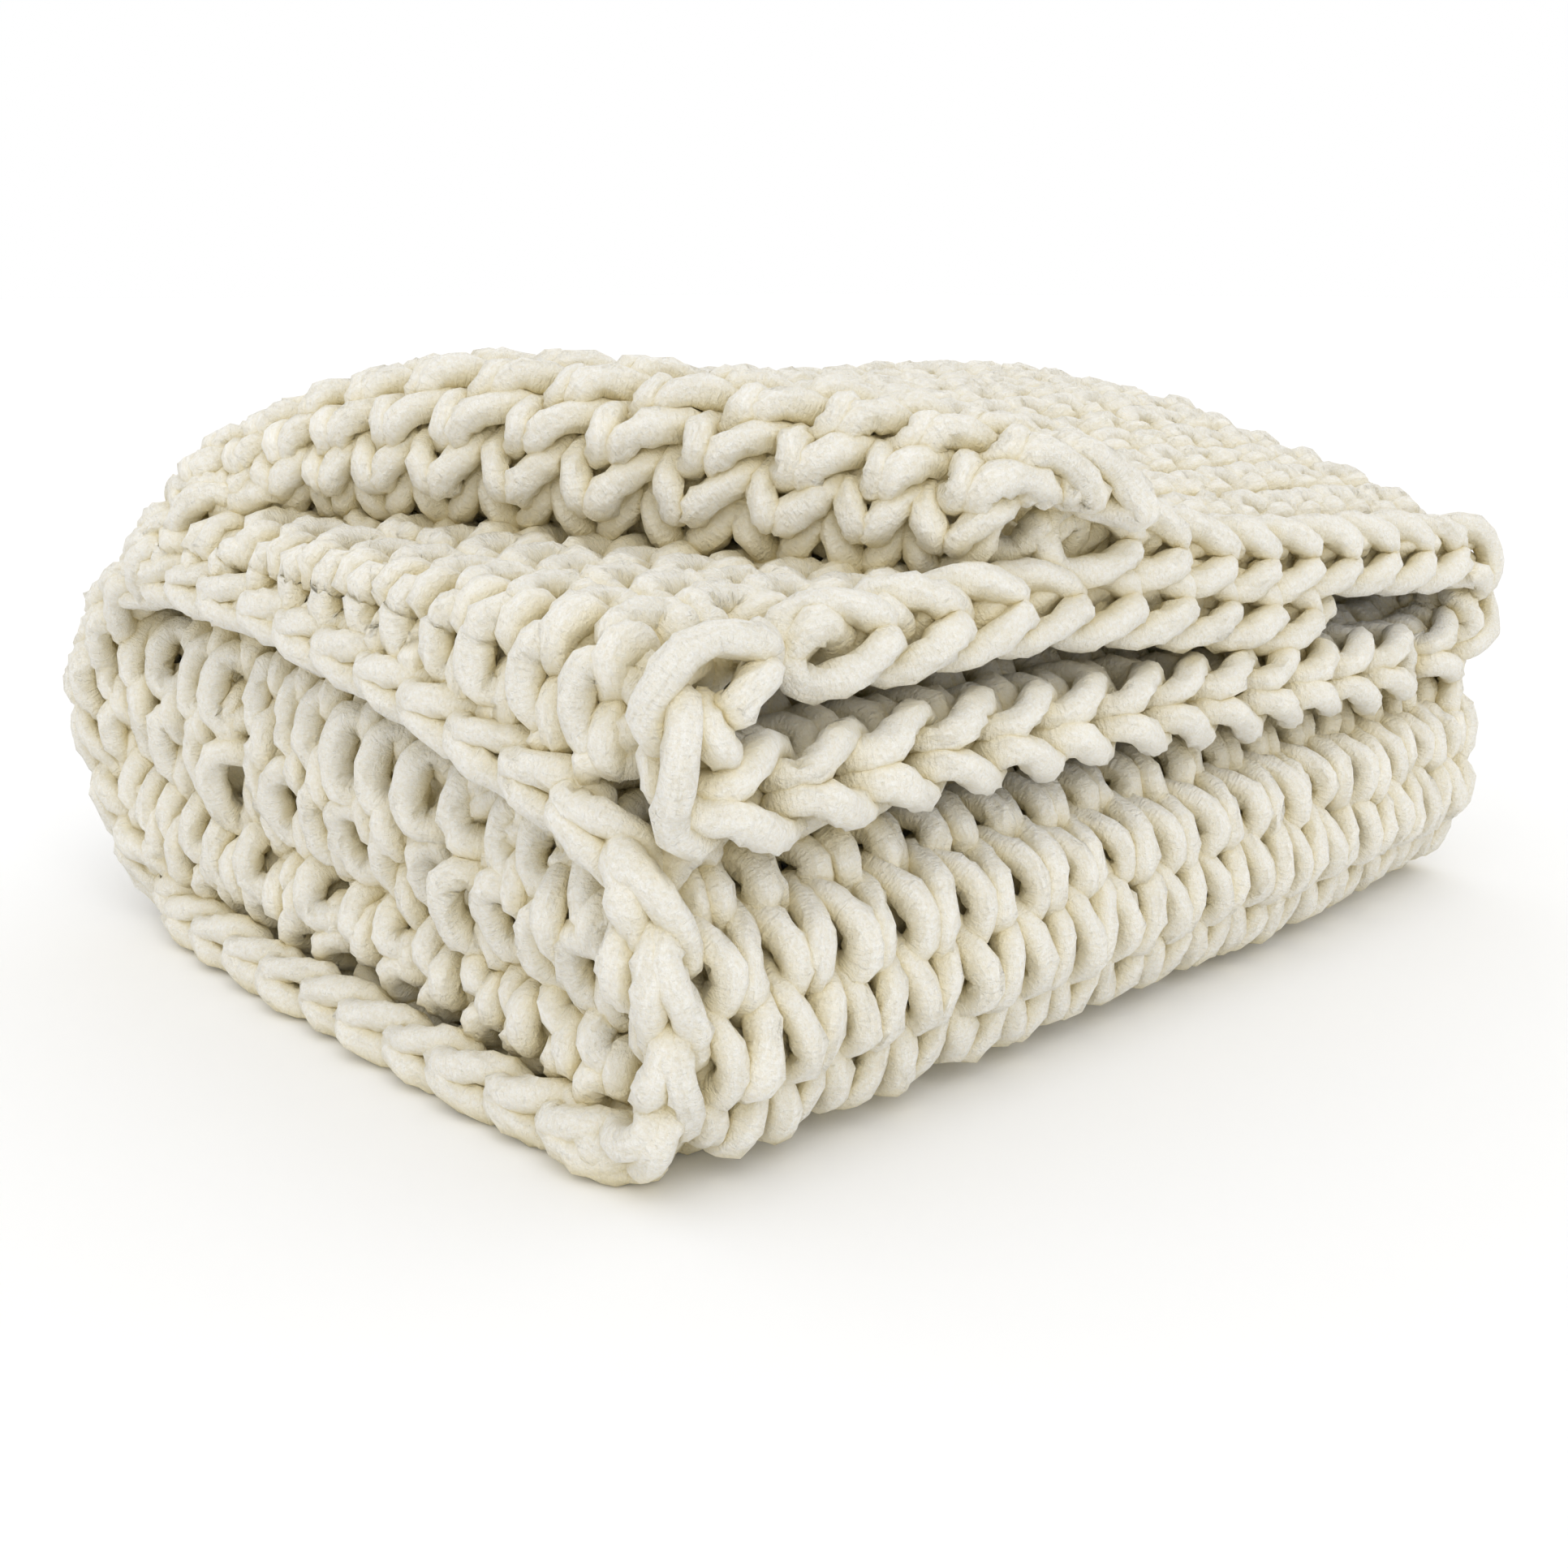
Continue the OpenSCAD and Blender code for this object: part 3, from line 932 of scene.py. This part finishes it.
class THROW_OT_bottom(bpy.types.Operator):
    """Knit the bottom of the base"""

    bl_idname = "throw.bottom"
    bl_label = "Bottom"

    def execute(self, context):
        build_bottom(context.scene.throw_settings)
        return {"FINISHED"}


class THROW_OT_base_top(bpy.types.Operator):
    """Knit the upper layer of the base"""

    bl_idname = "throw.base_top"
    bl_label = "Base top"

    def execute(self, context):
        build_base_top(context.scene.throw_settings)
        return {"FINISHED"}


class THROW_OT_side_folds(bpy.types.Operator):
    """Knit the folded ends of the base"""

    bl_idname = "throw.side_folds"
    bl_label = "Side folds"

    def execute(self, context):
        build_side_folds(context.scene.throw_settings)
        return {"FINISHED"}


class THROW_OT_cast_on_edges(bpy.types.Operator):
    """Work the chains along the front edges"""

    bl_idname = "throw.cast_on_edges"
    bl_label = "Cast-on edges"

    def execute(self, context):
        build_cast_on_edges(context.scene.throw_settings)
        return {"FINISHED"}


class THROW_OT_selvedges(bpy.types.Operator):
    """Work the chains along the side edges"""

    bl_idname = "throw.selvedges"
    bl_label = "Selvedges"

    def execute(self, context):
        build_selvedges(context.scene.throw_settings)
        return {"FINISHED"}


class THROW_OT_yarn_end(bpy.types.Operator):
    """Add the loose end of yarn"""

    bl_idname = "throw.yarn_end"
    bl_label = "Yarn end"

    def execute(self, context):
        build_yarn_end(context.scene.throw_settings)
        return {"FINISHED"}


class THROW_OT_stage(bpy.types.Operator):
    """Add the floor, the light and the camera"""

    bl_idname = "throw.stage"
    bl_label = "Stage"

    def execute(self, context):
        build_stage(context.scene.throw_settings)
        return {"FINISHED"}


STEPS = (
    THROW_OT_top_flap,
    THROW_OT_rolled_edge,
    THROW_OT_right_turn,
    THROW_OT_rear_fold,
    THROW_OT_middle_flap,
    THROW_OT_left_turn,
    THROW_OT_lower_flap,
    THROW_OT_front_fold,
    THROW_OT_bottom,
    THROW_OT_base_top,
    THROW_OT_side_folds,
    THROW_OT_cast_on_edges,
    THROW_OT_selvedges,
    THROW_OT_yarn_end,
    THROW_OT_stage,
)


class THROW_PT_panel(bpy.types.Panel):
    """Settings of the throw and a button for each of its pieces"""

    bl_idname = "THROW_PT_panel"
    bl_label = "Folded throw"
    bl_space_type = "VIEW_3D"
    bl_region_type = "UI"
    bl_category = "Throw"

    def draw(self, context):
        for key in ThrowSettings.__annotations__:
            self.layout.prop(context.scene.throw_settings, key)
        for step in STEPS:
            self.layout.operator(step.bl_idname)


CLASSES = (ThrowSettings, *STEPS, THROW_PT_panel)


def register():
    for cls in CLASSES:
        bpy.utils.register_class(cls)
    bpy.types.Scene.throw_settings = bpy.props.PointerProperty(type=ThrowSettings)


def unregister():
    del bpy.types.Scene.throw_settings
    for cls in reversed(CLASSES):
        bpy.utils.unregister_class(cls)


def main():
    register()
    bpy.ops.throw.top_flap()
    bpy.ops.throw.rolled_edge()
    bpy.ops.throw.right_turn()
    bpy.ops.throw.rear_fold()
    bpy.ops.throw.middle_flap()
    bpy.ops.throw.left_turn()
    bpy.ops.throw.lower_flap()
    bpy.ops.throw.front_fold()
    bpy.ops.throw.bottom()
    bpy.ops.throw.base_top()
    bpy.ops.throw.side_folds()
    bpy.ops.throw.cast_on_edges()
    bpy.ops.throw.selvedges()
    bpy.ops.throw.yarn_end()
    bpy.ops.throw.stage()


if __name__ == "__main__":
    main()
